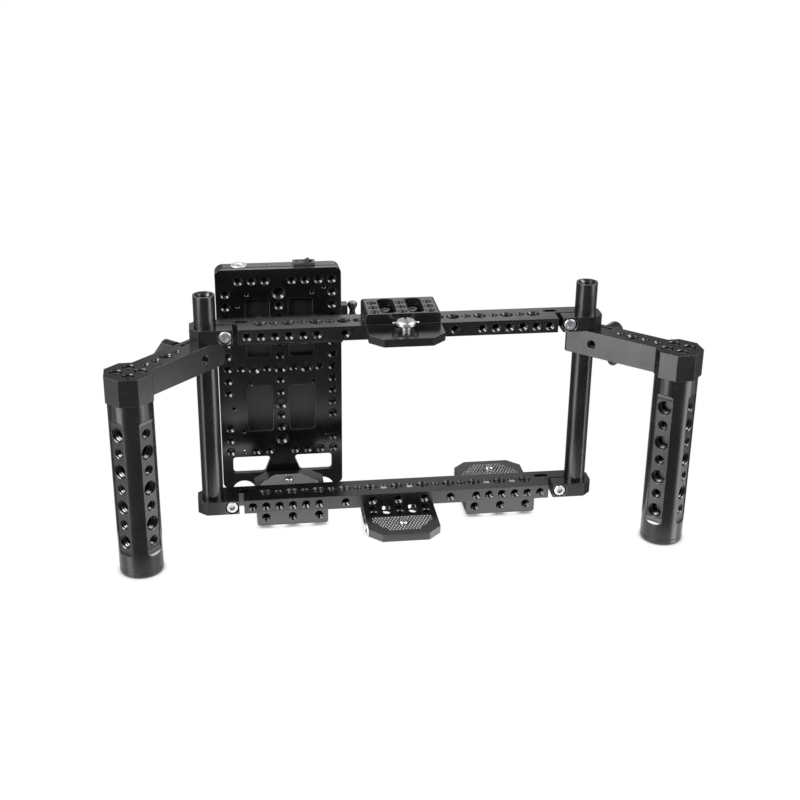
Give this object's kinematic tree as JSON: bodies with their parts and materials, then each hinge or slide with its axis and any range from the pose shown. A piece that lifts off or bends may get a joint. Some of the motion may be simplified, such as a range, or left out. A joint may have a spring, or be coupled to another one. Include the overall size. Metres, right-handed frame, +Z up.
{
  "type": "monitor cage",
  "caption": "Monitor cage of drilled bars clamped on round rods, with padded screw brackets, swinging side grips with clamp levers, and a wedge battery plate.",
  "frame": {"origin": "mouth of the middle threaded hole in the top face of the bottom bar", "axes": "+X along the bars to the operator's right, +Y from the screen side to the battery side, +Z up along the rods"},
  "size_m": [0.3987, 0.1418, 0.1789],
  "materials": {
    "black_anodised": "black anodised, satin",
    "bright_steel": "bright plated",
    "black_steel": "black oxide",
    "pad_rubber": "matt, knurled",
    "housing_plastic": "fine grain",
    "switch_plastic": "satin",
    "contact_brass": "gold plated"
  },
  "bodies": {
    "cage": {"bottom_bar": "black_anodised", "left_rod": "black_anodised", "right_rod": "black_anodised", "bottom_clamp_screws": "bright_steel", "front_support": "black_anodised", "front_pad": "pad_rubber", "front_bolts": "bright_steel", "left_support": "black_anodised", "left_pad": "pad_rubber", "left_bolts": "bright_steel", "right_support": "black_anodised", "right_pad": "pad_rubber", "right_bolts": "bright_steel"},
    "top_frame": {"top_bar": "black_anodised", "top_clamp_screws": "bright_steel", "top_support": "black_anodised", "top_pad": "pad_rubber", "top_bolts": "bright_steel", "front_plate": "black_anodised", "housing": "housing_plastic", "wedge_frame": "black_anodised", "frame_screws": "bright_steel", "contact_block": "housing_plastic", "contact_pins": "contact_brass", "dc_jack": "bright_steel", "switch_bezel": "switch_plastic", "carrier": "black_anodised", "carrier_screws": "black_steel", "lock_block": "black_anodised", "lock_spring": "bright_steel"},
    "rocker_body": {"rocker": "switch_plastic"},
    "lock_body": {"lock_knob": "black_anodised", "lock_cap": "bright_steel"},
    "left_arm_body": {"left_arm": "black_anodised", "left_grip": "black_anodised", "left_cap": "black_anodised", "left_head_screws": "black_steel"},
    "left_lever_body": {"left_lever": "black_steel"},
    "right_arm_body": {"right_arm": "black_anodised", "right_grip": "black_anodised", "right_cap": "black_anodised", "right_head_screws": "black_steel"},
    "right_lever_body": {"right_lever": "black_steel"},
    "top_screw_body": {"top_screw": "bright_steel"},
    "top_ring_body": {"top_ring": "bright_steel"},
    "front_screw_body": {"front_screw": "bright_steel"},
    "front_ring_body": {"front_ring": "bright_steel"},
    "left_screw_body": {"left_screw": "bright_steel"},
    "left_ring_body": {"left_ring": "bright_steel"},
    "right_screw_body": {"right_screw": "bright_steel"},
    "right_ring_body": {"right_ring": "bright_steel"}
  },
  "joints": [
    {"name": "top_frame_slide", "type": "slide", "parent": "cage", "child": "top_frame", "axis": [0, 0, 1], "range_m": [0, 0.02]},
    {"name": "rocker_tip", "type": "hinge", "parent": "top_frame", "child": "rocker_body", "pos_m": [-0.0603, 0.06725, 0.1489], "axis": [0, 1, 0], "range_deg": [0, 30]},
    {"name": "lock_pull", "type": "slide", "parent": "top_frame", "child": "lock_body", "axis": [0, 0, 1], "range_m": [0, 0.004], "stiffness_N_per_m": 250, "springref_m": -0.012},
    {"name": "left_arm_swing", "type": "hinge", "parent": "cage", "child": "left_arm_body", "pos_m": [-0.1323, 0, 0.1101], "axis": [0, 0, 1], "range_deg": [-43.5, 42.5]},
    {"name": "left_lever_turn", "type": "hinge", "parent": "left_arm_body", "child": "left_lever_body", "pos_m": [-0.13989, -0.00797, 0.1101], "axis": [-0.7242, 0.6896, 0], "range_deg": [-58, 122]},
    {"name": "right_arm_swing", "type": "hinge", "parent": "cage", "child": "right_arm_body", "pos_m": [0.1323, 0, 0.1101], "axis": [0, 0, 1], "range_deg": [-44, 42]},
    {"name": "right_lever_turn", "type": "hinge", "parent": "right_arm_body", "child": "right_lever_body", "pos_m": [0.14041, -0.00743, 0.1101], "axis": [0.6756, 0.7373, 0], "range_deg": [-168, 12]},
    {"name": "top_screw_turn", "type": "hinge", "parent": "top_frame", "child": "top_screw_body", "pos_m": [0, -0.0378, 0.1403], "axis": [0, 0, 1], "continuous": true},
    {"name": "top_ring_fold", "type": "hinge", "parent": "top_screw_body", "child": "top_ring_body", "pos_m": [0, -0.0378, 0.1403], "axis": [1, 0, 0], "range_deg": [0, 224]},
    {"name": "front_screw_turn", "type": "hinge", "parent": "cage", "child": "front_screw_body", "pos_m": [0, -0.0378, -0.0192], "axis": [0, 0, 1], "continuous": true},
    {"name": "front_ring_fold", "type": "hinge", "parent": "front_screw_body", "child": "front_ring_body", "pos_m": [0, -0.0378, -0.0192], "axis": [-1, 0, 0], "range_deg": [0, 180]},
    {"name": "left_screw_turn", "type": "hinge", "parent": "cage", "child": "left_screw_body", "pos_m": [-0.076, 0.0378, -0.0192], "axis": [0, 0, 1], "continuous": true},
    {"name": "left_ring_fold", "type": "hinge", "parent": "left_screw_body", "child": "left_ring_body", "pos_m": [-0.076, 0.0378, -0.0192], "axis": [1, 0, 0], "range_deg": [0, 180]},
    {"name": "right_screw_turn", "type": "hinge", "parent": "cage", "child": "right_screw_body", "pos_m": [0.076, 0.0378, -0.0178], "axis": [0, 0, 1], "continuous": true},
    {"name": "right_ring_fold", "type": "hinge", "parent": "right_screw_body", "child": "right_ring_body", "pos_m": [0.076, 0.0378, -0.0178], "axis": [1, 0, 0], "range_deg": [0, 180]}
  ]
}
